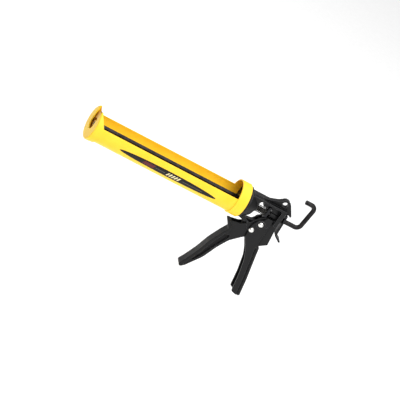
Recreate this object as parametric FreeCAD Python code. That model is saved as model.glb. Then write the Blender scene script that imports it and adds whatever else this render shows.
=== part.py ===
import FreeCAD, Part
import math
import os

from FreeCAD import Vector

# Caulking gun, in millimetres. X runs rearward from the front face of the barrel along the push rod,
# Z is up, and Y = 0 is the gun's middle plane. Pieces of the grip unit are drawn with x measured from
# the frame's front face, and are set in place by grip_x.

# ---- barrel
cartridge_d = 50.0            # the cartridge that lies in the cradle
cartridge_clearance = 1.8     # radial
sheet_t = 1.0                 # rolled cradle sheet
barrel_length = 293.0         # front face of the cap to the rear face of the collar
cradle_lip_deg = 17.0         # how far the cradle's walls rise above its middle plane
cap_plate_t = 2.0
cap_wall = 1.8
cap_skirt_length = 15.0
cap_bead_length = 8.0
cap_bead_height = 0.8
cap_edge_r = 2.4
cap_horn_x = 3.0              # where the sloped side edges reach the horns
nozzle_slot_r = 12.0
collar_wall = 2.1
collar_length = 18.0
collar_plate_t = 2.0
collar_edge_r = 0.8
label_length = 185.3
label_width = 13.6
label_start = 56.8            # from the front face
label_tilt_deg = 20.0         # below the middle plane
label_t = 0.15

# ---- swivel between the barrel and the frame
running_gap = 0.3             # between faces that move past each other
nose_r = 10.0
nose_fit = 0.15               # radial
swivel_washer_t = 1.0
swivel_washer_r = 21.0
retaining_plate_t = 3.0
retaining_plate_rim_gap = 1.0
retaining_plate_bevel = 0.8
circlip_t = 1.2
circlip_width = 2.4
circlip_groove = 0.9
circlip_opening_half = 1.5
nose_tip_length = 1.5

# ---- push rod and push plate
rod_d = 8.0
rod_tip_d = 6.0
rod_fit = 0.06                # radial, in the guide bushes
hook_leg_x = 111.6            # rod's rear leg, from the frame's front face
hook_height = 48.7
hook_reach = 18.8
hook_bend_r = 8.5
hook_lean = 3.5
push_plate_rim_gap = 4.8      # radial, to the cradle
push_plate_t = 1.6
push_plate_rim_depth = 3.2
push_plate_corner_r = 1.4
push_plate_dish_r = 9.5
push_plate_gap = 1.0          # to the cap's plate, rod fully forward
push_washer_r = 8.0
push_washer_t = 1.2
push_nut_flats = 10.0
push_nut_t = 3.4
push_nut_recess = 0.4         # the front nut stays this far behind the plate's face

# ---- frame casting
flange_t = 4.0
flange_rim_gap = 0.5          # how much smaller than the cradle the flange is
flange_step = 1.5             # from the flange's rim down to the neck
body_half_width = 12.0
body_wall = 3.0
body_start_x = 6.0
cavity_start_x = 10.0
cavity_reach = 60.0           # the cavity is open downward
body_end_x = 71.7             # rear face of the rear wall
rear_wall_t = 7.0
body_bottom_z = -12.0
deck_top_z = 21.2
deck_t = 3.2
bell_end_x = 25.5
bell_end_r = 12.0
bell_mid_r = 21.3
guide_boss_r = 8.0
guide_boss_end_x = 24.7
rib_half_t = 4.0
rib_top_z = 22.2
lug_x, lug_z = 64.1, 28.4
lug_r = 8.8
hang_hole_r = 5.0
catch_tip_x, catch_tip_z = 85.3, 13.0
ear_inner = 4.3
ear_wall = 3.5
ear_arc_r = 23.5              # ears end here around the lever's pivot, so that the lever swings clear
ear_top_z = -6.5
tail_bottom_z = -48.7
tail_lean = 7.3               # how far the tail's foot stands behind the rear wall
tail_edge_r = 2.0
tail_slope = 10.3             # drop of the tail's lower edge towards the front
web_start_x = 33.0            # middle web under the deck
web_bottom_z = 8.9
web_step_x = 51.0
web_rear_bottom_z = 6.6
casting_edge_r = 1.0

# ---- guide bushes
bush_wall = 2.3
rear_bush_start_x = 52.7

# ---- lever and its pivot
pivot_x, pivot_z = 47.3, -20.3
stop_x, stop_z = 39.2, -36.4  # second rivet, which also stops the lever
lever_travel_deg = 33.0
rivet_shank_r = 2.75
rivet_head_r = 4.6
rivet_head_h = 2.4
rivet_fit = 0.05
pivot_bush_wall = 1.1
tongue_half_t = 4.0
tongue_reach = 4.0            # into the lever's body, past the ears' arc
tongue_top_deg = 186.0        # the tongue's two sides, about the pivot
tongue_low_deg = 262.0
hub_r = 6.4
arm_length = 11.5             # pivot to the middle of the arm's round tip
arm_tip_r = 2.5
arm_neck_half = 1.8
arm_overlap = 1.0             # the drive plate's foot reaches this far below the tip's middle
lever_clearance = 0.3         # to the handle's cheeks, on each side
lever_flange_extra = 1.5
lever_recess_depth = 3.2
lever_channel_half = 4.6
lever_hub_block_r = 31.0
stop_slot_clearance = 0.35

# ---- handle
cheek_wall = 3.0
cheek_boss_r = 7.6
cheek_boss_h = 0.6
palm_flange_extra = 1.2
palm_flange_t = 4.6
palm_groove_w = 1.8
palm_groove_depth = 1.0
locating_pin_r = 1.5
locating_pin_recess = 0.4     # below the cheek's face
locating_pin_x, locating_pin_z = 58.0, -19.5

# ---- drive plate, release plate and springs
drive_plate_t = 4.0
drive_plate_half_width = 7.5
drive_plate_top_z = 13.5
drive_plate_hole_gap = 0.3
drive_plate_web_gap = 0.4     # beside the frame's middle web, which its slot runs over
drive_stem_half_width = 4.0
release_plate_x = 76.0
release_plate_t = 2.5
release_plate_half_width = 9.0
release_plate_bottom_z = -26.0
release_plate_hole_gap = 0.8
release_plate_lean_deg = 4.5  # at rest
release_top_gap = 0.4         # under the catch
release_tab_reach = 11.5
release_tab_drop = 9.0
spring_rod_gap = 1.5          # radial, inside the drive spring
drive_wire_d = 1.3
drive_turns = 6
release_spring_gap = 1.2      # radial, inside the release spring
release_wire_d = 0.9
release_turns = 2

# ---- worked out from the sizes above
cradle_ir = cartridge_d / 2 + cartridge_clearance
cradle_or = cradle_ir + sheet_t
rod_r = rod_d / 2
bush_ir = rod_r + rod_fit
drive_coil_r = rod_r + spring_rod_gap + drive_wire_d / 2
release_coil_r = rod_r + release_spring_gap + release_wire_d / 2
bush_or = bush_ir + bush_wall
collar_plate_x = barrel_length - collar_plate_t
washer_x = collar_plate_x - running_gap - swivel_washer_t
retaining_plate_x = washer_x - retaining_plate_t
circlip_x = retaining_plate_x - circlip_t
nose_tip_x = circlip_x - nose_tip_length
grip_x = barrel_length + running_gap
flange_r = cradle_or - flange_rim_gap
ear_outer = ear_inner + ear_wall
cheek_outer = ear_outer + cheek_wall
lever_half = ear_outer - lever_clearance
pivot_bush_or = rivet_shank_r + rivet_fit + pivot_bush_wall
rear_wall_x = body_end_x - rear_wall_t
arm_rest_deg = lever_travel_deg / 2
arm_tip_x = pivot_x + arm_length * math.sin(math.radians(arm_rest_deg))
arm_tip_z = pivot_z + arm_length * math.cos(math.radians(arm_rest_deg))
drive_plate_rear_x = arm_tip_x - arm_tip_r - running_gap
drive_plate_x = drive_plate_rear_x - drive_plate_t
drive_plate_bottom_z = arm_tip_z - arm_overlap
catch_z = catch_tip_z + 1.5
rib_root_z = deck_top_z - deck_t / 2
push_plate_x = cap_plate_t + push_plate_gap
push_nut_x = push_plate_x + push_nut_recess
push_dish_x = push_nut_x + push_nut_t + running_gap
push_washer_x = push_dish_x + push_plate_t + running_gap
jam_nut_x = push_washer_x + push_washer_t
rod_shoulder_x = jam_nut_x + push_nut_t
push_plate_r = cradle_ir - push_plate_rim_gap


# ---- shape helpers
def cyl_x(radius, x0, x1, y=0.0, z=0.0):
    return Part.makeCylinder(radius, x1 - x0, Vector(x0, y, z), Vector(1, 0, 0))


def tube_x(outer, inner, x0, x1):
    return cyl_x(outer, x0, x1).cut(cyl_x(inner, x0 - 1, x1 + 1))


def cyl_y(radius, half_length, x, z):
    return Part.makeCylinder(radius, 2 * half_length, Vector(x, -half_length, z), Vector(0, 1, 0))


def box(x0, x1, half_width, z0, z1):
    return Part.makeBox(x1 - x0, 2 * half_width, z1 - z0, Vector(x0, -half_width, z0))


def corner_edges(before, corner, after, radius):
    """Arc that rounds a corner, with its two tangent points."""
    u = (before - corner).normalize()
    v = (after - corner).normalize()
    half = u.getAngle(v) / 2
    bisector = (u + v).normalize()
    centre = corner + bisector * (radius / math.sin(half))
    start = corner + u * (radius / math.tan(half))
    end = corner + v * (radius / math.tan(half))
    return start, centre - bisector * radius, end


def rounded_edges(points, closed, y=0.0):
    """Lines and arcs through corners given as (x, z) or (x, z, corner radius)."""
    corners = [Vector(p[0], y, p[1]) for p in points]
    radii = [p[2] if len(p) > 2 else 0.0 for p in points]
    count = len(points)
    runs = []
    for i in range(count):
        open_end = not closed and i in (0, count - 1)
        if radii[i] > 0 and not open_end:
            runs.append(corner_edges(corners[i - 1], corners[i], corners[(i + 1) % count], radii[i]))
        else:
            runs.append((corners[i], None, corners[i]))
    edges = []
    for i in range(count):
        start, middle, end = runs[i]
        if middle is not None:
            edges.append(Part.Arc(start, middle, end).toShape())
        if i < count - 1 or closed:
            following = runs[(i + 1) % count][0]
            if (following - end).Length > 1e-6:
                edges.append(Part.makeLine(end, following))
    return edges


def prism(points, y0, y1):
    """Outline in X and Z, drawn out along Y."""
    face = Part.Face(Part.Wire(rounded_edges(points, True, y0)))
    return face.extrude(Vector(0, y1 - y0, 0))


def plate(points, half_width):
    return prism(points, -half_width, half_width)


def round_faces(shape, radius, *levels):
    """Rounds the edges that lie in the planes Y = level."""
    edges = []
    for edge in shape.Edges:
        limits = edge.BoundBox
        if limits.YLength < 1e-4 and any(abs(limits.YMin - level) < 1e-4 for level in levels):
            edges.append(edge)
    return shape.makeFillet(radius, edges)


def soft_plate(points, half_width, radius=casting_edge_r):
    return round_faces(plate(points, half_width), radius, -half_width, half_width)


def both_sides(points, inner, outer):
    return prism(points, inner, outer).fuse(prism(points, -outer, -inner))


def coil_x(coil_r, wire_d, x0, x1, turns):
    """Round wire on a helix about the rod, from x0 to x1."""
    height = x1 - x0 - wire_d
    helix = Part.makeHelix(height / turns, height, coil_r)
    section = Part.Circle(Vector(coil_r, 0, 0), Vector(0, 1, 0), wire_d / 2).toShape()
    spring = Part.Wire(helix).makePipeShell([Part.Wire(section)], True, True)
    spring.rotate(Vector(0, 0, 0), Vector(0, 1, 0), 90)
    spring.translate(Vector(x0 + wire_d / 2, 0, 0))
    return spring


def in_grip(shape):
    shape.translate(Vector(grip_x, 0, 0))
    return shape


def save(name, shape):
    shape.removeSplitter().exportStep("parts/" + name + ".step")


# ---- barrel
def lip_cut(x0, x1):
    """Everything above the cradle's two lips."""
    rise = math.radians(cradle_lip_deg)
    reach = 2 * cradle_or
    points = [Vector(x0, 0, 0),
              Vector(x0, reach * math.cos(rise), reach * math.sin(rise)),
              Vector(x0, 0, 2 * reach),
              Vector(x0, -reach * math.cos(rise), reach * math.sin(rise))]
    return Part.Face(Part.makePolygon(points + points[:1])).extrude(Vector(x1 - x0, 0, 0))


def barrel_cradle():
    sheet = tube_x(cradle_or, cradle_ir, cap_plate_t, collar_plate_x)
    return sheet.cut(lip_cut(0, barrel_length))


def front_cap():
    bead_r = cradle_or + cap_wall + cap_bead_height
    bead = cyl_x(bead_r, 0, cap_bead_length)
    bead = bead.makeFillet(cap_edge_r, [e for e in bead.Edges if e.BoundBox.XMax < 0.01])
    skirt = cyl_x(cradle_or + cap_wall, cap_edge_r, cap_skirt_length)
    cup = bead.fuse(skirt).cut(cyl_x(cradle_or, cap_plate_t, cap_skirt_length + 1))
    lip_z = cradle_or * math.sin(math.radians(cradle_lip_deg))
    slope = [(cap_horn_x, bead_r + 1), (cap_horn_x, bead_r - 4, 4), (cap_skirt_length, lip_z),
             (cap_skirt_length + 2, lip_z), (cap_skirt_length + 2, bead_r + 1)]
    cup = cup.cut(plate(slope, bead_r + 1))
    slot = cyl_x(nozzle_slot_r, -1, cap_plate_t + 1)
    slot = slot.fuse(box(-1, cap_skirt_length + 1, nozzle_slot_r, 0, bead_r + 1))
    return cup.cut(slot)


def rear_collar():
    outer_r = cradle_or + collar_wall
    ring = cyl_x(outer_r, barrel_length - collar_length, barrel_length)
    ring = ring.makeFillet(collar_edge_r, [e for e in ring.Edges if abs(e.BoundBox.XLength) < 0.01])
    ring = ring.cut(cyl_x(cradle_or, barrel_length - collar_length - 1, collar_plate_x))
    return ring.cut(cyl_x(nose_r + nose_fit, collar_plate_x - 1, barrel_length + 1))


def side_labels():
    """One long oval label on each flank of the cradle, bent round it."""
    middle = Vector(label_start + label_length / 2, 0, 0)
    tip = Vector(label_start + label_length, 0, 0)
    outline = Part.Ellipse(tip, middle + Vector(0, 0, label_width / 2), middle).toShape()
    lens = Part.Face(Part.Wire(outline)).extrude(Vector(0, -2 * cradle_or, 0))
    lens.rotate(Vector(0, 0, 0), Vector(1, 0, 0), label_tilt_deg)
    skin = tube_x(cradle_or + label_t, cradle_or, label_start - 1, label_start + label_length + 1)
    near = skin.common(lens)
    far = near.mirror(Vector(0, 0, 0), Vector(0, 1, 0))
    return Part.makeCompound([near, far])


# ---- swivel
def swivel_washer():
    return tube_x(swivel_washer_r, nose_r, washer_x, washer_x + swivel_washer_t)


def swivel_retaining_plate():
    outer = cradle_ir - retaining_plate_rim_gap
    disc = cyl_x(outer, retaining_plate_x, washer_x)
    front_rim = [e for e in disc.Edges if e.BoundBox.XMax < retaining_plate_x + 0.01]
    disc = disc.makeChamfer(retaining_plate_bevel, front_rim)
    return disc.cut(cyl_x(nose_r, retaining_plate_x - 1, washer_x + 1))


def swivel_circlip():
    groove_r = nose_r - circlip_groove
    ring = tube_x(groove_r + circlip_width, groove_r, circlip_x, retaining_plate_x)
    gap = box(circlip_x - 1, retaining_plate_x + 1, circlip_opening_half, -2 * nose_r, 0)
    return ring.cut(gap)


# ---- plunger
def push_plate():
    """Pressed disc with a rim turned rearward and a dish in the middle for the front nut."""
    front = push_plate_x
    cup = cyl_x(push_plate_r, front, front + push_plate_rim_depth)
    cup = cup.makeFillet(push_plate_corner_r, [e for e in cup.Edges if e.BoundBox.XMax < front + 0.01])
    cup = cup.cut(cyl_x(push_plate_r - push_plate_t, front + push_plate_t, front + push_plate_rim_depth + 1))
    dish = cyl_x(push_plate_dish_r + push_plate_t, front + push_plate_t / 2, push_dish_x + push_plate_t)
    cup = cup.fuse(dish).cut(cyl_x(push_plate_dish_r, front - 1, push_dish_x))
    return cup.cut(cyl_x(rod_tip_d / 2 + running_gap, push_dish_x - 1, push_dish_x + push_plate_t + 1))


def push_plate_washer():
    return tube_x(push_washer_r, rod_tip_d / 2, push_washer_x, jam_nut_x)


def hex_nut(x0):
    corner_r = push_nut_flats / 2 / math.cos(math.radians(30))
    ring = [Vector(x0, corner_r * math.cos(math.radians(60 * i)), corner_r * math.sin(math.radians(60 * i)))
            for i in range(7)]
    nut = Part.Face(Part.makePolygon(ring)).extrude(Vector(push_nut_t, 0, 0))
    bevel = Part.makeCone(push_nut_flats / 2, corner_r + 3, push_nut_t + 2, Vector(x0, 0, 0), Vector(1, 0, 0))
    return nut.common(bevel).cut(cyl_x(rod_tip_d / 2, x0 - 1, x0 + push_nut_t + 1))


def push_plate_nut():
    return hex_nut(push_nut_x)


def push_plate_jam_nut():
    return hex_nut(jam_nut_x)


def push_rod():
    leg_x = grip_x + hook_leg_x
    route = [(rod_shoulder_x, 0), (leg_x - hook_lean / 2, 0, hook_bend_r),
             (leg_x + hook_lean / 2, hook_height, hook_bend_r), (leg_x - hook_reach, hook_height)]
    path = Part.Wire(rounded_edges(route, False))
    start = Vector(rod_shoulder_x, 0, 0)
    section = Part.Wire(Part.Circle(start, Vector(1, 0, 0), rod_r).toShape())
    bar = path.makePipeShell([section], True, False)
    tip = cyl_x(rod_tip_d / 2, push_nut_x, rod_shoulder_x + 1)
    return bar.fuse(tip)


# ---- frame casting
def bell():
    """Flange and the hollow-sided neck behind it, turned about the rod."""
    neck = Part.Arc(Vector(flange_t, 0, flange_r - flange_step), Vector(bell_end_x / 2, 0, bell_mid_r),
                    Vector(bell_end_x, 0, bell_end_r)).toShape()
    edges = [Part.makeLine(Vector(0, 0, 0), Vector(0, 0, flange_r)),
             Part.makeLine(Vector(0, 0, flange_r), Vector(flange_t, 0, flange_r)),
             Part.makeLine(Vector(flange_t, 0, flange_r), Vector(flange_t, 0, flange_r - flange_step)),
             neck,
             Part.makeLine(Vector(bell_end_x, 0, bell_end_r), Vector(bell_end_x, 0, 0)),
             Part.makeLine(Vector(bell_end_x, 0, 0), Vector(0, 0, 0))]
    return Part.Face(Part.Wire(edges)).revolve(Vector(0, 0, 0), Vector(1, 0, 0), 360)


def top_rib():
    """Spine with the hanging lug and the catch that holds the release plate."""
    spine = plate([(2, rib_top_z, 1), (30, rib_top_z, 40), (lug_x - 13, lug_z + 1, 25),
                   (lug_x - 6, lug_z + lug_r - 2.6, 8), (lug_x, lug_z + 6),
                   (catch_tip_x, catch_tip_z + 1.5, 1.2),
                   (catch_tip_x - 1.5, catch_tip_z - 1, 1), (catch_tip_x - 4.5, catch_z),
                   (body_end_x - 1, catch_z), (body_end_x - 1, catch_z - 2), (rear_wall_x, catch_z - 2),
                   (rear_wall_x, rib_root_z), (2, rib_root_z)], rib_half_t)
    lug = cyl_y(lug_r, rib_half_t, lug_x, lug_z)
    skirt = plate([(lug_x, lug_z + lug_r - 0.01), (lug_x + 9, lug_z + 4.4), (catch_tip_x, catch_tip_z + 2),
                   (lug_x, catch_z)], rib_half_t)
    return spine.fuse(lug).fuse(skirt)


def ear_outline():
    """Side wall that carries the rivets; its lower edge follows an arc about the lever's pivot."""
    return [(5, -16.5), (16, -19.5, 3), (22, -25, 3), (29, -26.8, 3), (34, -22, 4), (37.5, -17, 4),
            (42, -11.5, 5), (48, ear_top_z, 4), (56, ear_top_z, 2), (rear_wall_x, -4), (body_end_x, -4),
            (body_end_x + tail_lean, tail_bottom_z, tail_edge_r),
            (rear_wall_x, tail_bottom_z - tail_slope, tail_edge_r), (56, -46), (48, -60), (20, -60),
            (20, -29), (5, -25)]


def frame_ears():
    sides = both_sides(ear_outline(), ear_inner, ear_outer)
    swing = cyl_y(60, ear_outer + 1, pivot_x, pivot_z).cut(cyl_y(ear_arc_r, ear_outer + 2, pivot_x, pivot_z))
    lower_front = plate([(20, -28.8), (pivot_x, pivot_z), (62, -46), (48, -90), (0, -90), (0, -28.8)],
                        ear_outer + 1)
    return sides.cut(swing.common(lower_front))


def frame_window():
    return plate([(bell_end_x - 2, deck_top_z - deck_t, 3), (rear_wall_x, deck_top_z - deck_t, 4),
                  (rear_wall_x, body_bottom_z - 1), (33, body_bottom_z - 1), (22, -24), (15.5, -22, 2),
                  (bell_end_x - 5, 0, 20)], flange_r + 1)


def deck_web():
    """Middle web that hangs from the deck over the drive plate and the rear bush."""
    return plate([(web_start_x - 1, rib_root_z), (web_start_x, web_bottom_z, 2),
                  (web_step_x, web_bottom_z, 1), (web_step_x + 1, web_rear_bottom_z, 1),
                  (rear_wall_x + 1, web_rear_bottom_z),
                  (rear_wall_x + 1, rib_root_z)], rib_half_t)


def casting():
    shell = bell().fuse(box(body_start_x, body_end_x, body_half_width, body_bottom_z, deck_top_z))
    cavity = box(cavity_start_x, rear_wall_x, body_half_width - body_wall, -cavity_reach, deck_top_z - deck_t)
    shell = shell.cut(cavity).cut(frame_window()).fuse(top_rib())
    tail = plate([(rear_wall_x, -2), (body_end_x, -2), (body_end_x + tail_lean, tail_bottom_z, tail_edge_r),
                  (rear_wall_x, tail_bottom_z - tail_slope, tail_edge_r)], ear_outer)
    nose = cyl_x(nose_r, nose_tip_x - grip_x, 1)
    groove = tube_x(nose_r + 1, nose_r - circlip_groove, circlip_x - grip_x, retaining_plate_x - grip_x)
    boss = cyl_x(guide_boss_r, 0, guide_boss_end_x)
    body = shell.fuse([tail, nose.cut(groove), boss, frame_ears(), deck_web()])
    body = body.cut(cyl_x(bush_or, nose_tip_x - grip_x - 1, body_end_x + 1))
    for x, z in ((pivot_x, pivot_z), (stop_x, stop_z)):
        body = body.cut(cyl_y(rivet_shank_r + rivet_fit, ear_outer + 1, x, z))
    body = body.cut(cyl_y(locating_pin_r, ear_outer + 1, locating_pin_x, locating_pin_z))
    return body.cut(cyl_y(hang_hole_r, rib_half_t + 1, lug_x, lug_z))


def casting_part(x0, x1):
    """The casting between two planes square to the rod."""
    reach = 10 * flange_r
    return in_grip(casting().common(box(x0, x1, reach, -reach, reach)))


def frame_head():
    return casting_part(nose_tip_x - grip_x - 1, bell_end_x)


def frame():
    return casting_part(bell_end_x, catch_tip_x + 1)


def front_guide_bush():
    return tube_x(bush_or, bush_ir, nose_tip_x, grip_x + guide_boss_end_x)


def rear_guide_bush():
    return in_grip(tube_x(bush_or, bush_ir, rear_bush_start_x, body_end_x))


# ---- lever
def lever_front_edge():
    """The finger side, from the foot up to the guard."""
    return [(-26.9, -154.9, 3), (-30.5, -150, 4), (-25.3, -139, 30), (-16.5, -115.5, 60), (-9.7, -90, 60),
            (-0.3, -67, 30), (4, -58.5, 3), (5.8, -54.5, 2)]


def lever_outline():
    return [(-4.8, -41, 1.8), (16, -37), (30, -28), (45, -44), (41, -50.5, 6), (33.4, -57.5, 15),
            (18.6, -73, 30), (8.3, -94, 60), (-1.3, -121, 60), (-19.2, -149.3, 5)] + lever_front_edge()


def lever_flange():
    """Wider band under the fingers, from the guard at the top to the lever's foot."""
    return [(-4.8, -41, 1.8), (1, -40), (10.8, -53.5, 5), (9.3, -58.5, 4), (5, -67, 30), (-4.4, -90, 60),
            (-11.2, -115.5, 60), (-20, -139), (-22.2, -151)] + lever_front_edge()


def lever_recess():
    return [(6.5, -65, 4), (18, -62.5, 3), (12.6, -76, 30), (4.3, -94, 60), (-4.9, -119.5, 60),
            (-13.4, -134.5, 2), (-16.6, -135.5, 1.1), (-9.8, -115.5, 60), (-3, -90, 60)]


def lever_channel():
    """Pocket that is open at the top, behind the finger guard."""
    pocket = plate([(0.5, -20), (3, -45, 4), (9, -51, 4), (22, -54, 4), (31, -50), (44, -20)],
                   lever_channel_half)
    return pocket.cut(cyl_y(lever_hub_block_r, lever_half, pivot_x, pivot_z))


def lever_tongue():
    """Middle web around the pivot, with the slot that the stop rivet runs in."""
    radius = ear_arc_r + tongue_reach
    top = math.radians(tongue_top_deg)
    low = math.radians(tongue_low_deg)
    web = plate([(pivot_x, pivot_z),
                 (pivot_x + 2 * radius * math.cos(top), pivot_z + 2 * radius * math.sin(top)),
                 (pivot_x - 2 * radius, pivot_z - 2 * radius),
                 (pivot_x + 2 * radius * math.cos(low), pivot_z + 2 * radius * math.sin(low))], tongue_half_t)
    web = web.common(cyl_y(radius, tongue_half_t, pivot_x, pivot_z))
    return web.fuse(cyl_y(hub_r, tongue_half_t, pivot_x, pivot_z)).cut(stop_slot())


def stop_slot():
    """Arc about the pivot, as long as the lever's travel."""
    slot_r = rivet_shank_r + stop_slot_clearance
    arm = math.hypot(stop_x - pivot_x, stop_z - pivot_z)
    rest_deg = math.degrees(math.atan2(stop_z - pivot_z, stop_x - pivot_x))
    band = cyl_y(arm + slot_r, tongue_half_t + 1, pivot_x, pivot_z)
    band = band.cut(cyl_y(arm - slot_r, tongue_half_t + 2, pivot_x, pivot_z))
    ends = []
    corners = [(pivot_x, pivot_z)]
    for angle in (rest_deg, rest_deg - lever_travel_deg):
        c = math.cos(math.radians(angle))
        s = math.sin(math.radians(angle))
        ends.append(cyl_y(slot_r, tongue_half_t + 1, pivot_x + arm * c, pivot_z + arm * s))
        corners.append((pivot_x + 3 * arm * c, pivot_z + 3 * arm * s))
    return band.common(plate(corners, tongue_half_t + 1)).fuse(ends)


def drive_arm():
    """Neck and round tip that push the drive plate."""
    neck = box(-arm_neck_half, arm_neck_half, tongue_half_t, 0, arm_length)
    neck.rotate(Vector(0, 0, 0), Vector(0, 1, 0), arm_rest_deg)
    neck.translate(Vector(pivot_x, 0, pivot_z))
    return neck.fuse(cyl_y(arm_tip_r, tongue_half_t, arm_tip_x, arm_tip_z))


def trigger_lever():
    body = soft_plate(lever_outline(), lever_half)
    body = body.cut(cyl_y(ear_arc_r + 2 * running_gap, lever_half + 1, pivot_x, pivot_z))
    body = body.cut(lever_channel())
    body = body.cut(both_sides(lever_recess(), lever_half - lever_recess_depth, lever_half + 1))
    body = body.fuse(soft_plate(lever_flange(), lever_half + lever_flange_extra))
    body = body.fuse(lever_tongue()).fuse(drive_arm())
    return in_grip(body.cut(cyl_y(pivot_bush_or + rod_fit, lever_half + 1, pivot_x, pivot_z)))


# ---- handle
def cheek_outline():
    return [(34.5, -27, 5), (36.2, -50), (53, -76, 20), (60, -90, 40), (68.5, -121, 90), (74, -151, 4),
            (91.3, -155.6, 6), (83.6, -119, 60), (77.6, -95, 60), (69.6, -60, 6), (63.5, -52, 3),
            (61.5, -4, 2), (50.5, -4, 2), (47.3, -11, 4), (39, -15, 6)]


def palm_band(inset, width):
    """Strip along the handle's rear edge, inset from it."""
    edge = [(69.1, -60.5, 0), (77.6, -95, 60), (83.6, -119, 60), (90, -151, 0)]
    near = [(x - inset, z, r) for x, z, r in edge]
    far = [(x - inset - width, z, r) for x, z, r in edge]
    return near + far[::-1]


def rear_handle():
    cheeks = soft_plate(cheek_outline(), cheek_outer).cut(plate(cheek_outline(), ear_outer))
    boss = cyl_y(cheek_boss_r, cheek_outer + cheek_boss_h, pivot_x, pivot_z)
    boss = boss.cut(cyl_y(cheek_boss_r + 1, ear_outer, pivot_x, pivot_z))
    back = soft_plate(palm_band(0, palm_flange_t), cheek_outer + palm_flange_extra)
    floor = plate([(75.5, -147.6), (89.4, -151.6), (89, -153.2), (76, -149.6)], cheek_outer - 1)
    groove = both_sides(palm_band(palm_flange_t, palm_groove_w), cheek_outer - palm_groove_depth,
                        cheek_outer + 1)
    body = cheeks.fuse([boss, back, floor]).cut(groove)
    for x, z in ((pivot_x, pivot_z), (stop_x, stop_z)):
        body = body.cut(cyl_y(rivet_shank_r + rivet_fit, cheek_outer + 2, x, z))
    return in_grip(body.cut(cyl_y(locating_pin_r, cheek_outer + 1, locating_pin_x, locating_pin_z)))


# ---- fasteners
def rivet(x, z, seat):
    """Shank with a domed head on each cheek."""
    shank = cyl_y(rivet_shank_r, seat + 0.5, x, z)
    ball_r = (rivet_head_r ** 2 + rivet_head_h ** 2) / (2 * rivet_head_h)
    pieces = []
    for side in (-1, 1):
        ball = Part.makeSphere(ball_r, Vector(x, side * (seat + rivet_head_h - ball_r), z))
        keep = Part.makeCylinder(rivet_head_r + 1, rivet_head_h + 1, Vector(x, side * seat, z),
                                 Vector(0, side, 0))
        pieces.append(ball.common(keep))
    return in_grip(shank.fuse(pieces))


def lever_pivot_rivet():
    return rivet(pivot_x, pivot_z, cheek_outer + cheek_boss_h)


def handle_rivet():
    return rivet(stop_x, stop_z, cheek_outer)


def lever_pivot_bush():
    outer = cyl_y(pivot_bush_or, ear_inner - rivet_fit, pivot_x, pivot_z)
    return in_grip(outer.cut(cyl_y(rivet_shank_r + rivet_fit, ear_outer, pivot_x, pivot_z)))


def handle_locating_pin():
    return in_grip(cyl_y(locating_pin_r, cheek_outer - locating_pin_recess, locating_pin_x, locating_pin_z))


# ---- drive and release plates
def drive_plate():
    wide_bottom = ear_top_z + running_gap
    slab = plate([(drive_plate_x, wide_bottom), (drive_plate_x, drive_plate_top_z, 1),
                  (drive_plate_rear_x, drive_plate_top_z, 1), (drive_plate_rear_x, wide_bottom)],
                 drive_plate_half_width)
    stem = plate([(drive_plate_x, drive_plate_bottom_z, 0.8), (drive_plate_x, wide_bottom + 0.5),
                  (drive_plate_rear_x, wide_bottom + 0.5), (drive_plate_rear_x, drive_plate_bottom_z, 0.3)],
                 drive_stem_half_width)
    web_slot = box(drive_plate_x - 1, drive_plate_rear_x + 1, rib_half_t + drive_plate_web_gap,
                   web_bottom_z - running_gap, drive_plate_top_z + 1)
    slab = slab.fuse(stem).cut(web_slot)
    return in_grip(slab.cut(cyl_x(rod_r + drive_plate_hole_gap, drive_plate_x - 1, drive_plate_rear_x + 1)))


def release_plate():
    front = release_plate_x
    rear = front + release_plate_t
    low = release_plate_bottom_z
    slab = plate([(front, catch_z - release_top_gap, 0.6), (front, low - 1, 3),
                  (front + release_tab_reach, low - release_tab_drop - 1, 0.6),
                  (rear + release_tab_reach, low - release_tab_drop + 1, 0.6),
                  (rear, low, 1.5), (rear, catch_z - release_top_gap, 0.6)], release_plate_half_width)
    slab = slab.cut(cyl_x(rod_r + release_plate_hole_gap, front - 1, rear + 1))
    hinge = Vector((front + rear) / 2, 0, catch_z - release_top_gap)
    slab.rotate(hinge, Vector(0, -1, 0), release_plate_lean_deg)
    return in_grip(slab)


def drive_spring():
    start = guide_boss_end_x + running_gap
    return in_grip(coil_x(drive_coil_r, drive_wire_d, start, drive_plate_x - running_gap, drive_turns))


def release_spring():
    start = body_end_x + running_gap
    return in_grip(coil_x(release_coil_r, release_wire_d, start, release_plate_x - running_gap,
                          release_turns))


pieces = (barrel_cradle, front_cap, rear_collar, side_labels, swivel_washer, swivel_retaining_plate,
          swivel_circlip, push_plate, push_plate_washer, push_plate_nut, push_plate_jam_nut, push_rod,
          frame_head, frame, front_guide_bush, rear_guide_bush, trigger_lever, rear_handle,
          lever_pivot_rivet, handle_rivet, lever_pivot_bush, handle_locating_pin, drive_plate,
          release_plate, drive_spring, release_spring)

os.makedirs("parts", exist_ok=True)
for piece in pieces:
    save(piece.__name__, piece())
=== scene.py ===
import math

import bmesh
import bpy
import numpy as np
from mathutils import Matrix, Vector

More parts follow.
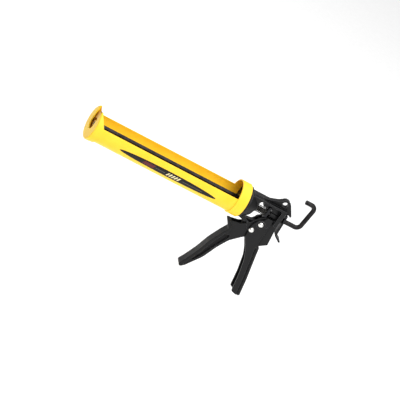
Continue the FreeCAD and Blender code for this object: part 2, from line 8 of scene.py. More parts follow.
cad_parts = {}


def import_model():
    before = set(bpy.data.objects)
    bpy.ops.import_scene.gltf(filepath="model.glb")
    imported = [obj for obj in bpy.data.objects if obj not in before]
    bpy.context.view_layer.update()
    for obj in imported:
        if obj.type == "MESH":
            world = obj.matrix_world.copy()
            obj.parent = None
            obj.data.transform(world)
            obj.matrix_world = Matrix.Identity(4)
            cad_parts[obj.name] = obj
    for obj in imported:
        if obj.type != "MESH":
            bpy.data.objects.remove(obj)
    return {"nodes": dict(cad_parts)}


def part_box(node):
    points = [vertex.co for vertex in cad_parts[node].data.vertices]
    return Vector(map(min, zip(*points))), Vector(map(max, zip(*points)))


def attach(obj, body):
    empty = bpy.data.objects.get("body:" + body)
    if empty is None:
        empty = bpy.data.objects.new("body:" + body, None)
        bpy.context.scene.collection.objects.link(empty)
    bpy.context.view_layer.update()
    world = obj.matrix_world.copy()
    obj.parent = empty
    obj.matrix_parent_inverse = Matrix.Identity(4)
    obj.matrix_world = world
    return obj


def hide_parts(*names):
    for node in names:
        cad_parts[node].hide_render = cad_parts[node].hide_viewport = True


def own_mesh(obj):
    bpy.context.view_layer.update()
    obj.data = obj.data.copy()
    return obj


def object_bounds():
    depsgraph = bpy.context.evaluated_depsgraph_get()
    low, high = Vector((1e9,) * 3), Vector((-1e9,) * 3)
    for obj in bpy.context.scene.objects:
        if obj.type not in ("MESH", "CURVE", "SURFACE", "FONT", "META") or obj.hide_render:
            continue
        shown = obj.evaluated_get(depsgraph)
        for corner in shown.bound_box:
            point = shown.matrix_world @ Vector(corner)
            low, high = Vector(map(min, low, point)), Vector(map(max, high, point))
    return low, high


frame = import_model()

cad_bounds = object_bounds()
MM = 0.001

# ---------------------------------------------------------------- sizes and places, from the frame
cradle_low, cradle_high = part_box("barrel_cradle")
rod_low, rod_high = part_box("push_rod")
SHEET = 1.0 * MM
CRADLE_R = -cradle_low[2]                 # outside of the rolled sheet
LIP_ANGLE = math.asin(cradle_high[2] / CRADLE_R)
ROD_R = -rod_low[2]
HOOK_BEND = 8.5 * MM
HOOK_LEAN = 3.5 * MM
HOOK_REACH = 18.8 * MM
TIP_R = 3.0 * MM                          # threaded end of the rod
THREAD_PITCH = 1.0 * MM
THREAD_DEPTH = 0.35 * MM
EASE = 1.2 * MM                           # rounding of the rod's ends
DRIVE_WIRE, RELEASE_WIRE = 1.3 * MM, 0.9 * MM
DRIVE_TURNS, RELEASE_TURNS = 7, 2.5
RIVET_HEAD_H, RIVET_SHANK_R = 2.4 * MM, 2.75 * MM
LABEL_HALF_WIDTH = 6.8 * MM
SHADE_REACH = 9.0 * MM                   # how near a wall must be for the painted shade that dims the reflection
LABEL_TILT = math.radians(20.0)
LABEL_LIFT, LABEL_DEPTH = 0.14 * MM, 0.03 * MM   # film above and below the sheet's face
MARK_DEPTH, MARK_SHARE = 0.22 * MM, 0.34         # setting mark: depth, and share of the head's radius
PATTERN_SCALE = 10.0                      # label pattern units in a metre: 100 mm is 1
POINTS_PER_TURN, SMOOTHED_POINTS = 40, 13  # a spring's path, and how many are averaged
CLOSED_SHARE = 0.9                        # part of an end turn that lies closed
GROUND_SHARE = 0.3                        # an end's wire axis stands this share of the wire in


# ---------------------------------------------------------------- mesh helpers
def finish_mesh(name, verts, faces, smooth_angle=35.0, uv=None):
    """Mesh object from arrays; doubles merged, normals outward, soft shading below smooth_angle."""
    mesh = bpy.data.meshes.new(name)
    mesh.from_pydata(np.asarray(verts, float).tolist(), [], np.asarray(faces).tolist())
    if uv is not None:
        layer = mesh.uv_layers.new(name="pattern")
        loops = np.empty(len(mesh.loops), dtype=np.int32)
        mesh.loops.foreach_get("vertex_index", loops)
        layer.data.foreach_set("uv", np.asarray(uv, float)[loops].ravel())
    work = bmesh.new()
    work.from_mesh(mesh)
    bmesh.ops.remove_doubles(work, verts=work.verts, dist=1e-6)
    bmesh.ops.dissolve_degenerate(work, edges=work.edges, dist=1e-7)
    bmesh.ops.recalc_face_normals(work, faces=work.faces)
    work.to_mesh(mesh)
    work.free()
    mesh.polygons.foreach_set("use_smooth", [True] * len(mesh.polygons))
    mesh.set_sharp_from_angle(angle=math.radians(smooth_angle))
    piece = bpy.data.objects.new(name, mesh)
    bpy.context.scene.collection.objects.link(piece)
    return piece


def grid_faces(rows, columns, round_columns):
    """Quads between neighbours of a rows by columns grid, joined round the columns if they close."""
    r = np.arange(rows - 1)
    c = np.arange(columns if round_columns else columns - 1)
    r, c = np.meshgrid(r, c, indexing="ij")
    c2 = (c + 1) % columns
    near, far = r * columns, (r + 1) * columns
    return np.stack([near + c, far + c, far + c2, near + c2], axis=-1).reshape(-1, 4)


def ringed_piece(name, points, smooth_angle=35.0):
    """Piece whose surface is a stack of closed rings of points, shape (rings, points, 3), in metres."""
    faces = grid_faces(*points.shape[:2], True)
    return finish_mesh(name, points.reshape(-1, 3), faces, smooth_angle)


def round_corners(corners, radii, steps=10):
    """Polyline with each corner replaced by an arc tangent to both sides.

    A corner's arc has its centre on the bisector, at radius / sin(half the corner's angle)."""
    corners = np.asarray(corners, float)
    points = []
    count = len(corners)
    for i in range(count):
        corner, radius = corners[i], radii[i]
        if radius <= 0:
            points.append(corner)
            continue
        u = corners[i - 1] - corner
        v = corners[(i + 1) % count] - corner
        u, v = u / np.linalg.norm(u), v / np.linalg.norm(v)
        half = math.acos(np.clip(u @ v, -1, 1)) / 2
        middle = (u + v) / np.linalg.norm(u + v)
        centre = corner + middle * radius / math.sin(half)
        start = corner + u * radius / math.tan(half) - centre
        end = corner + v * radius / math.tan(half) - centre
        sweep = math.pi - 2 * half
        t = np.linspace(0, 1, steps + 1)[:, None]
        arc = (np.sin((1 - t) * sweep) * start + np.sin(t * sweep) * end) / math.sin(sweep)
        points.extend(centre + arc)
    return np.array(points)


def tube_piece(name, path, radii, side, segments=28, smooth_angle=40.0, flat_between=None):
    """Round bar along a path: rings of the given radii, square to the path, closed at both ends.

    Each ring is path + radius * (cos a * n + sin a * b), with b = tangent x side and n = b x tangent.
    Where flat_between gives two X values, the surface is ground flat at them."""
    tangent = np.gradient(path, axis=0)
    tangent /= np.linalg.norm(tangent, axis=1)[:, None]
    b = np.cross(tangent, side)
    b /= np.linalg.norm(b, axis=1)[:, None]
    n = np.cross(b, tangent)
    a = np.linspace(0, 2 * np.pi, segments, endpoint=False)
    ring = np.cos(a)[None, :, None] * n[:, None, :] + np.sin(a)[None, :, None] * b[:, None, :]
    points = path[:, None, :] + np.asarray(radii)[:, None, None] * ring
    if flat_between is not None:
        points[..., 0] = np.clip(points[..., 0], *flat_between)
    centres = np.repeat(points[[0, -1]].mean(axis=1, keepdims=True), segments, axis=1)
    points = np.concatenate([centres[:1], points, centres[1:]])
    return ringed_piece(name, points, smooth_angle)


def turned_piece(name, profile, centre, segments=72, smooth_angle=35.0):
    """Shape turned about a line along Y: profile of (y, radius) carried round it.

    A point is (centre x + radius * cos a, y, centre z + radius * sin a)."""
    profile = np.asarray(profile, float)
    a = np.linspace(0, 2 * np.pi, segments, endpoint=False)
    x = centre[0] + profile[:, 1][:, None] * np.cos(a)
    y = np.repeat(profile[:, 0][:, None], segments, axis=1)
    z = centre[2] + profile[:, 1][:, None] * np.sin(a)
    points = np.stack([x, y, z], axis=-1)
    return ringed_piece(name, points, smooth_angle)


# ---------------------------------------------------------------- material helpers
def linear(colour):
    """sRGB hex to linear RGBA."""
    parts = [int(colour[i:i + 2], 16) / 255 for i in (1, 3, 5)]
    return tuple(c / 12.92 if c <= 0.04045 else ((c + 0.055) / 1.055) ** 2.4 for c in parts) + (1.0,)


def connect(tree, node, inputs):
    """Sets each input of a node to its number or colour, or links it to its socket."""
    for key, value in inputs.items():
        if isinstance(value, bpy.types.NodeSocket):
            tree.links.new(value, node.inputs[key])
        else:
            node.inputs[key].default_value = value


def add(tree, kind, inputs=None, stops=(), **settings):
    """Adds a node with its settings, its inputs, and (position, value or hex colour) stops if it has any."""
    node = tree.nodes.new(kind)
    for key, value in settings.items():
        setattr(node, key, value)
    connect(tree, node, inputs or {})
    if stops:
        elements = node.color_ramp.elements
        while len(elements) < len(stops):
            elements.new(0.5)
        for element, (position, value) in zip(elements, stops):
            element.position = position
            element.color = linear(value) if isinstance(value, str) else (value, value, value, 1.0)
    return node


def new_material(name):
    """Empty material with its shader and output; returns material, tree, shader and coordinates."""
    material = bpy.data.materials.new(name)
    material.use_nodes = True
    tree = material.node_tree
    tree.nodes.clear()
    shader = add(tree, "ShaderNodeBsdfPrincipled")
    add(tree, "ShaderNodeOutputMaterial", {"Surface": shader.outputs["BSDF"]})
    coords = add(tree, "ShaderNodeTexCoord").outputs["Object"]
    return material, tree, shader, coords


def per_mm(size):
    """Texture scale for features of that many millimetres, on coordinates in metres."""
    return 1000.0 / size


# ---------------------------------------------------------------- materials
def powder_coat_yellow():
    """Polyester powder coat on steel: smooth gloss with a fine orange peel from the stoving."""
    material, tree, shader, coords = new_material("powder_coated_steel_yellow")
    broad = add(tree, "ShaderNodeTexNoise", {"Vector": coords, "Scale": per_mm(28.0), "Detail": 2.0})
    paint = add(tree, "ShaderNodeValToRGB", {"Fac": broad.outputs["Fac"]},
                [(0.3, "#FCCB2E"), (0.7, "#FFD53A")])
    peel = add(tree, "ShaderNodeTexNoise", {"Vector": coords, "Scale": per_mm(1.6), "Detail": 3.0,
                                            "Roughness": 0.5})
    skin = add(tree, "ShaderNodeBump", {"Height": peel.outputs["Fac"], "Strength": 0.16,
                                        "Distance": 0.12 * MM})
    haze = add(tree, "ShaderNodeTexNoise", {"Vector": coords, "Scale": per_mm(9.0), "Detail": 5.0})
    gloss = add(tree, "ShaderNodeValToRGB", {"Fac": haze.outputs["Fac"]}, [(0.25, 0.30), (0.75, 0.42)])
    connect(tree, shader, {"Base Color": paint.outputs["Color"], "Roughness": gloss.outputs["Color"],
                           "Normal": skin.outputs["Normal"], "IOR": 1.5, "Specular IOR Level": 0.2,
                           "Coat Weight": 0.04, "Coat Roughness": 0.2})
    return material


def edge_wear_and_highlight_mask(tree, radius_mm):
    """Mask that is 1 along convex and concave edges and 0 on open faces.

    It is 1 - dot(normal rounded over the radius, true normal), stretched by a ramp."""
    rounded = add(tree, "ShaderNodeBevel", {"Radius": radius_mm * MM}, samples=6).outputs["Normal"]
    plain = add(tree, "ShaderNodeNewGeometry").outputs["Normal"]
    same = add(tree, "ShaderNodeVectorMath", {0: rounded, 1: plain},
               operation="DOT_PRODUCT").outputs["Value"]
    return add(tree, "ShaderNodeValToRGB", {"Fac": same}, [(0.80, 1.0), (0.985, 0.0)]).outputs["Color"]


def satin_black_casting(name, wear=0.5):
    """Satin stoved paint on die-cast aluminium: fine cast grain, edges greyed as partly rubbed wear and
    partly painted highlight, reflection dimmed in recesses as painted shade.

    The real grain is a few tenths of a millimetre; it is drawn at 0.9 mm so that it shows."""
    material, tree, shader, coords = new_material(name)
    grain = add(tree, "ShaderNodeTexNoise", {"Vector": coords, "Scale": per_mm(0.9), "Detail": 4.0,
                                             "Roughness": 0.6})
    dust = add(tree, "ShaderNodeTexNoise", {"Vector": coords, "Scale": per_mm(14.0), "Detail": 6.0,
                                            "Roughness": 0.65}).outputs["Fac"]
    paint = add(tree, "ShaderNodeValToRGB", {"Fac": dust},
                [(0.35, "#0B0B0C"), (0.6, "#0E0E0F"), (0.8, "#161617")])
    # Grey along convex and concave edges: partly rubbed wear, partly a painted highlight along the ridges.
    edges = edge_wear_and_highlight_mask(tree, 0.8)
    patchy_wear_and_highlight = add(tree, "ShaderNodeMath", {0: edges, 1: dust}, operation="MULTIPLY").outputs[0]
    wear_and_highlight_paint = add(tree, "ShaderNodeMix", {"Factor": patchy_wear_and_highlight, 6: paint.outputs["Color"], 7: linear("#77777A")},
                 data_type="RGBA")
    gloss = add(tree, "ShaderNodeValToRGB", {"Fac": dust}, [(0.3, 0.36), (0.75, 0.36 + 0.2 * wear)])
    waves = add(tree, "ShaderNodeTexNoise", {"Vector": coords, "Scale": per_mm(7.0), "Detail": 1.0})
    rolling = add(tree, "ShaderNodeBump", {"Height": waves.outputs["Fac"], "Strength": 0.12,
                                           "Distance": 0.25 * MM})
    skin = add(tree, "ShaderNodeBump", {"Height": grain.outputs["Fac"], "Strength": 0.22,
                                        "Distance": 0.07 * MM, "Normal": rolling.outputs["Normal"]})
    # Painted shade: the reflection is dimmed where ambient occlusion finds a near wall, darkening recesses
    # and grooves.
    recess = add(tree, "ShaderNodeAmbientOcclusion", {"Distance": SHADE_REACH}, samples=8)
    shine_with_painted_shade = add(tree, "ShaderNodeValToRGB", {"Fac": recess.outputs["AO"]}, [(0.35, 0.03), (0.95, 0.24)])
    connect(tree, shader, {"Base Color": wear_and_highlight_paint.outputs[2], "Roughness": gloss.outputs["Color"],
                           "Normal": skin.outputs["Normal"], "Specular IOR Level": shine_with_painted_shade.outputs["Color"],
                           "IOR": 1.5})
    return material


def blackened_bar():
    """Cold-drawn bar, chemically blackened: draw lines run along it, with faint grey rubbing.

    Real draw lines are finer; they are drawn 0.7 mm apart so that they show."""
    material, tree, shader, coords = new_material("blackened_steel_bar")
    along = add(tree, "ShaderNodeMapping", {"Vector": coords, "Scale": (0.04, 1.0, 1.0)}).outputs["Vector"]
    lines = add(tree, "ShaderNodeTexNoise", {"Vector": along, "Scale": per_mm(0.7), "Detail": 3.0})
    patches = add(tree, "ShaderNodeTexNoise", {"Vector": coords, "Scale": per_mm(11.0), "Detail": 5.0})
    tint = add(tree, "ShaderNodeValToRGB", {"Fac": patches.outputs["Fac"]},
               [(0.35, "#1E1D1E"), (0.7, "#312F2F")])
    gloss = add(tree, "ShaderNodeValToRGB", {"Fac": lines.outputs["Fac"]}, [(0.3, 0.30), (0.7, 0.46)])
    skin = add(tree, "ShaderNodeBump", {"Height": lines.outputs["Fac"], "Strength": 0.25,
                                        "Distance": 0.05 * MM})
    connect(tree, shader, {"Base Color": tint.outputs["Color"], "Roughness": gloss.outputs["Color"],
                           "Normal": skin.outputs["Normal"], "Metallic": 0.85})
    return material


def one_pattern(name, pattern, tints, glosses, strength, depth_mm, metallic):
    """Material whose tint, gloss and relief all follow one noise; pattern is its (mm, detail)."""
    material, tree, shader, coords = new_material(name)
    size, detail = pattern
    noise = add(tree, "ShaderNodeTexNoise", {"Vector": coords, "Scale": per_mm(size), "Detail": detail})
    noise = noise.outputs["Fac"]
    tint = add(tree, "ShaderNodeValToRGB", {"Fac": noise}, tints)
    gloss = add(tree, "ShaderNodeValToRGB", {"Fac": noise}, glosses)
    skin = add(tree, "ShaderNodeBump", {"Height": noise, "Strength": strength, "Distance": depth_mm * MM})
    connect(tree, shader, {"Base Color": tint.outputs["Color"], "Roughness": gloss.outputs["Color"],
                           "Normal": skin.outputs["Normal"], "Metallic": metallic})
    return material


def black_oxide_steel():
    """Pressed steel, oil-blackened: dull blue-black with rolling streaks and bright rubbed specks."""
    return one_pattern("black_oxide_steel", (4.0, 6.0),
                       [(0.3, "#1A1A1C"), (0.62, "#242427"), (0.85, "#38383B")],
                       [(0.3, 0.38), (0.8, 0.55)], 0.15, 0.06, 0.7)


def bright_nickel():
    """Nickel-plated rivet: bright and slightly warm, with small marks from the setting tool."""
    return one_pattern("nickel_plated_steel", (1.4, 3.0), [(0.3, "#DAD9D5"), (0.7, "#F0EFEC")],
                       [(0.3, 0.16), (0.75, 0.30)], 0.3, 0.08, 1.0)


def passivated_zinc():
    """Yellow-passivated zinc on a pressing: golden with a faint spangle, soft gloss."""
    material, tree, shader, coords = new_material("yellow_passivated_steel")
    spangle = add(tree, "ShaderNodeTexVoronoi", {"Vector": coords, "Scale": per_mm(3.0)})
    tint = add(tree, "ShaderNodeValToRGB", {"Fac": spangle.outputs["Color"]},
               [(0.2, "#B98A34"), (0.8, "#DDB25A")])
    fine = add(tree, "ShaderNodeTexNoise", {"Vector": coords, "Scale": per_mm(0.8), "Detail": 3.0})
    gloss = add(tree, "ShaderNodeValToRGB", {"Fac": fine.outputs["Fac"]}, [(0.3, 0.28), (0.7, 0.42)])
    skin = add(tree, "ShaderNodeBump", {"Height": fine.outputs["Fac"], "Strength": 0.12,
                                        "Distance": 0.04 * MM})
    connect(tree, shader, {"Base Color": tint.outputs["Color"], "Roughness": gloss.outputs["Color"],
                           "Normal": skin.outputs["Normal"], "Metallic": 1.0})
    return material


def spring_wire():
    """Oil-tempered spring wire: dark grey-brown, drawn smooth."""
    return one_pattern("oil_tempered_spring_steel", (2.5, 4.0), [(0.3, "#2E2D2C"), (0.7, "#55534F")],
                       [(0.3, 0.24), (0.7, 0.4)], 0.1, 0.03, 1.0)


def turned_steel():
    """Bush turned from bar: fine tool rings about its axis and a grey satin gloss.

    Real tool rings are closer; they are drawn 0.35 mm apart so that they show."""
    material, tree, shader, coords = new_material("turned_steel")
    across = add(tree, "ShaderNodeMapping", {"Vector": coords, "Scale": (1.0, 0.02, 0.02)}).outputs["Vector"]
    rings = add(tree, "ShaderNodeTexNoise", {"Vector": across, "Scale": per_mm(0.35), "Detail": 2.0})
    tint = add(tree, "ShaderNodeValToRGB", {"Fac": rings.outputs["Fac"]},
               [(0.3, "#77787A"), (0.7, "#9B9C9E")])
    gloss = add(tree, "ShaderNodeValToRGB", {"Fac": rings.outputs["Fac"]}, [(0.3, 0.3), (0.7, 0.45)])
    skin = add(tree, "ShaderNodeBump", {"Height": rings.outputs["Fac"], "Strength": 0.2,
                                        "Distance": 0.04 * MM})
    connect(tree, shader, {"Base Color": tint.outputs["Color"], "Roughness": gloss.outputs["Color"],
                           "Normal": skin.outputs["Normal"], "Metallic": 1.0})
    return material


def black_nylon():
    """Moulded nylon washer: near black, waxy."""
    return one_pattern("moulded_nylon_black", (1.2, 3.0), [(0.3, "#131313"), (0.7, "#1C1C1C")],
                       [(0.3, 0.42), (0.7, 0.56)], 0.12, 0.05, 0.0)


def printed_vinyl():
    """Black printed film: a dark red patch, plain pale slanted bars and thin grey strokes.

    Its pattern coordinates are millimetres along the label and across it, over 100. Each step is a named
    measure or mask: a compare is 1 within its last number of the one before, a product is where both are."""
    material, tree, shader, coords = new_material("printed_vinyl_film")
    uv = add(tree, "ShaderNodeUVMap", uv_map="pattern").outputs["UV"]
    split = add(tree, "ShaderNodeSeparateXYZ", {"Vector": uv})
    found = {"along": split.outputs["X"], "across": split.outputs["Y"]}
    for made, operation, *values in (
            ("slant", "MULTIPLY_ADD", "across", -0.45, "along"),
            ("row", "PINGPONG", "across", 0.011),
            ("in_row", "COMPARE", "row", 0.0, 0.0035),
            ("middle", "COMPARE", "across", 0.0, 0.017),
            ("strokes", "MULTIPLY", "in_row", "middle"),
            ("front_part", "COMPARE", "slant", -0.145, 0.095),
            ("front_strokes", "MULTIPLY", "strokes", "front_part"),
            ("rear_part", "COMPARE", "slant", 0.475, 0.190),
            ("rear_strokes", "MULTIPLY", "strokes", "rear_part"),
            ("tall_middle", "COMPARE", "across", 0.0, 0.034),
            ("patch_part", "COMPARE", "slant", -0.365, 0.105),
            ("patch", "MULTIPLY", "tall_middle", "patch_part"),
            ("bar", "PINGPONG", "slant", 0.026),
            ("in_bar", "COMPARE", "bar", 0.0, 0.0145),
            ("bars_part", "COMPARE", "slant", 0.117, 0.128),
            ("bars_field", "MULTIPLY", "bars_part", "tall_middle"),
            ("bars", "MULTIPLY", "in_bar", "bars_field")):
        inputs = {i: found.get(value, value) for i, value in enumerate(values)}
        found[made] = add(tree, "ShaderNodeMath", inputs, operation=operation).outputs[0]
    ink = linear("#0B0A0A")
    for mask, colour in (("front_strokes", "#6A6661"), ("rear_strokes", "#6A6661"),
                         ("patch", "#5C1F26"), ("bars", "#E9DDAE")):
        ink = add(tree, "ShaderNodeMix", {"Factor": found[mask], 6: ink, 7: linear(colour)},
                  data_type="RGBA").outputs[2]
    film = add(tree, "ShaderNodeTexNoise", {"Vector": coords, "Scale": per_mm(3.0), "Detail": 4.0})
    gloss = add(tree, "ShaderNodeValToRGB", {"Fac": film.outputs["Fac"]}, [(0.3, 0.26), (0.7, 0.40)])
    skin = add(tree, "ShaderNodeBump", {"Height": film.outputs["Fac"], "Strength": 0.1,
                                        "Distance": 0.06 * MM})
    connect(tree, shader, {"Base Color": ink, "Roughness": gloss.outputs["Color"],
                           "Normal": skin.outputs["Normal"], "Specular IOR Level": 0.25})
    return material


YELLOW = powder_coat_yellow()
CAST = satin_black_casting("satin_painted_die_casting")
LEVER_CAST = satin_black_casting("satin_painted_lever_casting", 0.8)
BAR = blackened_bar()
BLACK_STEEL = black_oxide_steel()
NICKEL = bright_nickel()
PASSIVATED = passivated_zinc()
WIRE = spring_wire()
TURNED = turned_steel()
NYLON = black_nylon()
VINYL = printed_vinyl()


# ---------------------------------------------------------------- carried-over CAD nodes
def dress(node, material):
    """Gives a CAD node its finish, in every slot."""
    mesh = frame["nodes"][node].data
    if not mesh.materials:
        mesh.materials.append(material)
    for i in range(len(mesh.materials)):
        mesh.materials[i] = material


FINISHES = {
    "front_cap": YELLOW, "rear_collar": YELLOW,
    "frame_head": CAST, "frame": CAST, "rear_handle": LEVER_CAST, "trigger_lever": LEVER_CAST,
    "swivel_washer": NYLON, "swivel_retaining_plate": BLACK_STEEL, "swivel_circlip": WIRE,
    "push_plate": PASSIVATED, "push_plate_washer": PASSIVATED,
    "push_plate_nut": PASSIVATED, "push_plate_jam_nut": PASSIVATED,
    "front_guide_bush": TURNED, "rear_guide_bush": CAST, "lever_pivot_bush": TURNED,
    "handle_locating_pin": BLACK_STEEL, "drive_plate": BLACK_STEEL, "release_plate": BLACK_STEEL,
    "barrel_cradle": YELLOW, "side_labels": VINYL, "push_rod": BAR, "drive_spring": WIRE,
    "release_spring": WIRE, "lever_pivot_rivet": NICKEL, "handle_rivet": NICKEL,
}
for node_name, finish in FINISHES.items():
    dress(node_name, finish)


def place(piece, material, body, slot, *nodes):
    """Finish, body and the CAD nodes that the piece stands for; slot is not used."""
    piece.data.materials.append(material)
    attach(piece, body)
    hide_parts(*nodes)


# ---------------------------------------------------------------- barrel
def rolled_cradle():
    """Half pipe of sheet: an arc section with round lips, carried along X.

    The section goes round the outer arc, over one lip by a half circle, back along the inner arc and over
    the other lip. Its two end rings are drawn in to the middle of the wall, which closes the ends."""
    outer, inner = CRADLE_R, CRADLE_R - SHEET
    middle = (outer + inner) / 2
    start, end = -LIP_ANGLE, math.pi + LIP_ANGLE
    arc = np.linspace(start, end, 121)
    lip = np.linspace(0, math.pi, 9)[1:-1]
    half = SHEET / 2

    def at(radius, angle):
        return np.stack([-radius * np.cos(angle), -radius * np.sin(angle)], axis=-1)

    def lip_points(angle, direction):
        centre = at(middle, np.array([angle]))
        outward = at(1.0, np.array([angle]))
        along = direction * np.array([[math.sin(angle), -math.cos(angle)]])
        return centre + half * (np.cos(lip)[:, None] * outward + np.sin(lip)[:, None] * along)

    section = np.concatenate([at(outer, arc), lip_points(end, 1.0), at(inner, arc[::-1]),
                              lip_points(start, -1.0)[::-1]])
    radius = np.linalg.norm(section, axis=1)[:, None]
    closed = section / radius * middle
    x0, x1 = cradle_low[0], cradle_high[0]
    stations = np.concatenate([[x0, x0], np.linspace(x0, x1, 25), [x1]])
    points = np.empty((len(stations), len(section), 3))
    points[:, :, 0] = stations[:, None]
    points[:, :, 1:] = section
    points[0, :, 1:] = closed
    points[-1, :, 1:] = closed
    piece = ringed_piece("rolled_cradle", points, 50.0)
    place(piece, YELLOW, "barrel", "barrel_paint", "barrel_cradle")


def flank_labels():
    """Oval film on each flank, bent round the sheet.

    Half the width at distance s from the middle is half_width * sqrt(1 - (s / half_length) ** 2)."""
    low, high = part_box("side_labels")
    half_length = (high[0] - low[0]) / 2
    middle_x = (high[0] + low[0]) / 2
    s = half_length * np.sin(np.linspace(-np.pi / 2, np.pi / 2, 91))
    width = LABEL_HALF_WIDTH * np.sqrt(np.clip(1 - (s / half_length) ** 2, 0, None))
    t = np.linspace(-1, 1, 17)
    across = width[:, None] * t
    angle = across / CRADLE_R - LABEL_TILT
    sets = []
    for side in (-1, 1):
        for radius in (CRADLE_R + LABEL_LIFT, CRADLE_R - LABEL_DEPTH):
            x = np.repeat((middle_x + s)[:, None], len(t), axis=1)
            sets.append(np.stack([x, side * radius * np.cos(angle), radius * np.sin(angle)], axis=-1))
    rows, columns = len(s), len(t)
    rim = np.concatenate([np.arange(columns), (np.arange(1, rows) * columns + columns - 1),
                          ((rows - 1) * columns + np.arange(columns - 2, -1, -1)),
                          (np.arange(rows - 2, 0, -1) * columns)])
    verts, faces, uv = [], [], []
    pattern = np.stack([np.repeat(s[:, None], columns, axis=1), across], axis=-1) * PATTERN_SCALE
    pattern = pattern.reshape(-1, 2)
    for i, points in enumerate(sets):
        verts.append(points.reshape(-1, 3))
        faces.append(grid_faces(rows, columns, False) + i * rows * columns)
        uv.append(pattern * np.array([[1.0 if i < 2 else -1.0, 1.0]]))
    for pair in (0, 2):
        outer = rim + pair * rows * columns
        inner = rim + (pair + 1) * rows * columns
        faces.append(np.stack([outer, np.roll(outer, -1), np.roll(inner, -1), inner], axis=-1))
    piece = finish_mesh("flank_labels", np.concatenate(verts), np.concatenate(faces), 40.0,
                        np.concatenate(uv))
    place(piece, VINYL, "barrel", "label_film", "side_labels")


# ---------------------------------------------------------------- rod and springs
def hooked_rod():
    """Round bar with a threaded tip, its rear end bent up and forward into a hook, its end edges eased.

    An eased end's radius at distance d from the end is R - e + sqrt(e ** 2 - (e - d) ** 2)."""
    leg = rod_high[0] - ROD_R - HOOK_LEAN / 2
    top = rod_high[2] - ROD_R
    x0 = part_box("push_plate_jam_nut")[1][0]
    tip_x = np.arange(rod_low[0], x0, THREAD_PITCH / 8)
    tip = np.stack([tip_x, 0 * tip_x, 0 * tip_x], axis=-1)
    thread = TIP_R - THREAD_DEPTH * (0.5 + 0.5 * np.cos(2 * np.pi * tip_x / THREAD_PITCH))
    route = [(x0, 0, 0), (leg - HOOK_LEAN / 2, 0, 0), (leg + HOOK_LEAN / 2, 0, top),
             (leg - HOOK_REACH, 0, top)]
    line = round_corners(route, [0, HOOK_BEND, HOOK_BEND, 0], 16)
    ease = np.array([0.0, 0.08, 0.3, 0.6, 1.0]) * EASE
    eased = ROD_R - EASE + np.sqrt(np.clip(EASE ** 2 - (EASE - ease) ** 2, 0, None))
    first = line[0] + np.outer(ease, [1, 0, 0])
    last = line[-1] + np.outer(ease[::-1], [1, 0, 0])
    body = np.linspace(first[-1], line[1], 40)[1:-1]
    path = np.concatenate([tip, first, body, line[1:-1], last])
    radii = np.concatenate([thread, eased, np.full(len(body) + len(line) - 2, ROD_R), eased[::-1]])
    bar = tube_piece("hooked_rod", path, radii, np.array([0.0, 1.0, 0.0]), 40)
    place(bar, BAR, "rod", "rod_steel", "push_rod")


def coil_spring(node, wire_d, turns):
    """Compression spring with closed and ground end coils.

    Its wire climbs one wire thickness over the first turn and the last, and evenly in between:
    x(t), y = coil_r * sin(2 pi t), z = coil_r * cos(2 pi t), with t in turns."""
    low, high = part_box(node)
    coil_r = (high[2] - low[2]) / 2 - wire_d / 2
    t = np.linspace(0, turns, int(turns * POINTS_PER_TURN) + 1)
    start, end = low[0] + GROUND_SHARE * wire_d, high[0] - GROUND_SHARE * wire_d
    rise = min(wire_d, (end - start) / 3)
    x = np.interp(t, [0, CLOSED_SHARE, turns - CLOSED_SHARE, turns], [start, start + rise, end - rise, end])
    average = np.full(SMOOTHED_POINTS, 1 / SMOOTHED_POINTS)
    smooth = np.convolve(np.pad(x, SMOOTHED_POINTS // 2, mode="edge"), average, mode="valid")
    path = np.stack([smooth, coil_r * np.sin(2 * np.pi * t), coil_r * np.cos(2 * np.pi * t)], axis=-1)
    radii = np.full(len(t), wire_d / 2)
    spring = tube_piece("coiled_" + node, path, radii, np.array([1.0, 0.0, 0.0]), 16, 50.0,
                        (low[0], high[0]))
    place(spring, WIRE, "grip_frame", "spring_steel", node)
    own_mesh(spring)


def domed_rivet(node):
    """Shank with a domed head at both ends, each with a shallow setting mark in its middle.

    The dome is a sphere's cap through the head's rim, of radius (r ** 2 + h ** 2) / 2h."""
    low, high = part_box(node)
    centre = (low + high) / 2
    head_r = (high[0] - low[0]) / 2
    seat = high[1] - RIVET_HEAD_H
    ball_r = (head_r ** 2 + RIVET_HEAD_H ** 2) / (2 * RIVET_HEAD_H)
    r = head_r * np.sin(np.linspace(np.pi / 2, 0, 28))
    rise = np.sqrt(ball_r ** 2 - r ** 2) - (ball_r - RIVET_HEAD_H)
    mark = MARK_DEPTH * np.clip(1 - (r / (MARK_SHARE * head_r)) ** 2, 0, None)
    dome = np.stack([seat + np.maximum(rise - mark, 0.0), r], axis=-1)
    side = np.concatenate([[[seat, RIVET_SHANK_R], [seat, head_r]], dome[1:]])
    profile = np.concatenate([side[::-1] * [-1, 1], side])
    rivet = turned_piece(node + "_domed", profile, centre)
    place(rivet, NICKEL, "grip_frame", "rivet_nickel", node)


rolled_cradle()
flank_labels()
hooked_rod()
coil_spring("drive_spring", DRIVE_WIRE, DRIVE_TURNS)
coil_spring("release_spring", RELEASE_WIRE, RELEASE_TURNS)
domed_rivet("lever_pivot_rivet")
domed_rivet("handle_rivet")


# ---------------------------------------------------------------- stage, light and camera
FLOOR_DROP = 60.0 * MM
FLOOR_HALF = 12.0


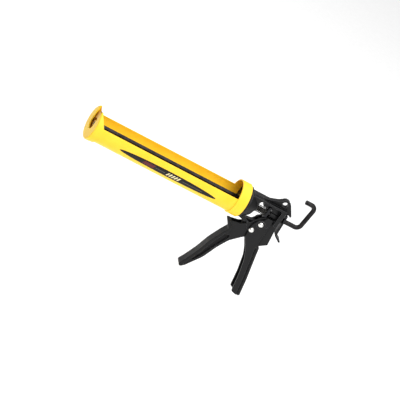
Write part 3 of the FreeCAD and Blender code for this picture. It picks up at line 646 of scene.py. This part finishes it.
def stage():
    """Plain white sweep of floor under the gun."""
    low = cad_bounds[0]
    mesh = bpy.data.meshes.new("studio_floor")
    z = low[2] - FLOOR_DROP
    corners = [(x, y, z) for x, y in FLOOR_HALF * np.array([(-1, -1), (1, -1), (1, 1), (-1, 1)])]
    mesh.from_pydata(corners, [], [(0, 1, 2, 3)])
    floor = bpy.data.objects.new("studio_floor", mesh)
    bpy.context.scene.collection.objects.link(floor)
    material, tree, shader, coords = new_material("studio_paper")
    fibre = add(tree, "ShaderNodeTexNoise", {"Vector": coords, "Scale": per_mm(6.0), "Detail": 3.0})
    tint = add(tree, "ShaderNodeValToRGB", {"Fac": fibre.outputs["Fac"]},
               [(0.3, "#F7F7F7"), (0.7, "#FAFAFA")])
    connect(tree, shader, {"Base Color": tint.outputs["Color"], "Roughness": 0.9})
    mesh.materials.append(material)


def area_light(name, place_at, aim, size, watts):
    data = bpy.data.lights.new(name, "AREA")
    data.shape = "SQUARE"
    data.size = size
    data.energy = watts
    light = bpy.data.objects.new(name, data)
    light.location = place_at
    light.rotation_euler = (Vector(aim) - Vector(place_at)).to_track_quat("-Z", "Y").to_euler()
    bpy.context.scene.collection.objects.link(light)


def camera():
    """Long lens, from the front left and above, rolled so that the barrel points up to the left."""
    azimuth, elevation, roll = math.radians(-21.41), math.radians(22.36), math.radians(35.89)
    distance, frame_width = 8.0, 0.6544
    back = Vector((math.sin(azimuth) * math.cos(elevation), -math.cos(azimuth) * math.cos(elevation),
                   math.sin(elevation)))
    level = Vector((math.cos(azimuth), math.sin(azimuth), 0.0))
    upright = back.cross(level)
    right = math.cos(roll) * level + math.sin(roll) * upright
    up = back.cross(right)
    target = Vector((0.2258, -0.0149, -0.0287))
    data = bpy.data.cameras.new("camera")
    data.sensor_width = 36.0
    data.lens = 36.0 * distance / frame_width
    data.clip_end = 50.0
    view = bpy.data.objects.new("camera", data)
    rotation = Matrix((right, up, back)).transposed()
    view.matrix_world = Matrix.Translation(target + back * distance) @ rotation.to_4x4()
    bpy.context.scene.collection.objects.link(view)
    bpy.context.scene.camera = view


def world():
    data = bpy.data.worlds.new("studio")
    data.use_nodes = True
    background = data.node_tree.nodes["Background"]
    background.inputs["Color"].default_value = (1.0, 1.0, 1.0, 1.0)
    background.inputs["Strength"].default_value = 0.52
    bpy.context.scene.world = data
    bpy.context.scene.view_settings.view_transform = "Standard"


stage()
area_light("key", (0.3, -1.5, 1.8), (0.2, 0, 0), 1.8, 37.0)
area_light("top", (0.3, 0.4, 2.2), (0.25, 0.2, 0), 2.2, 38.0)
area_light("fill", (1.4, -1.7, 0.6), (0.25, 0, -0.05), 1.2, 6.0)
world()
camera()
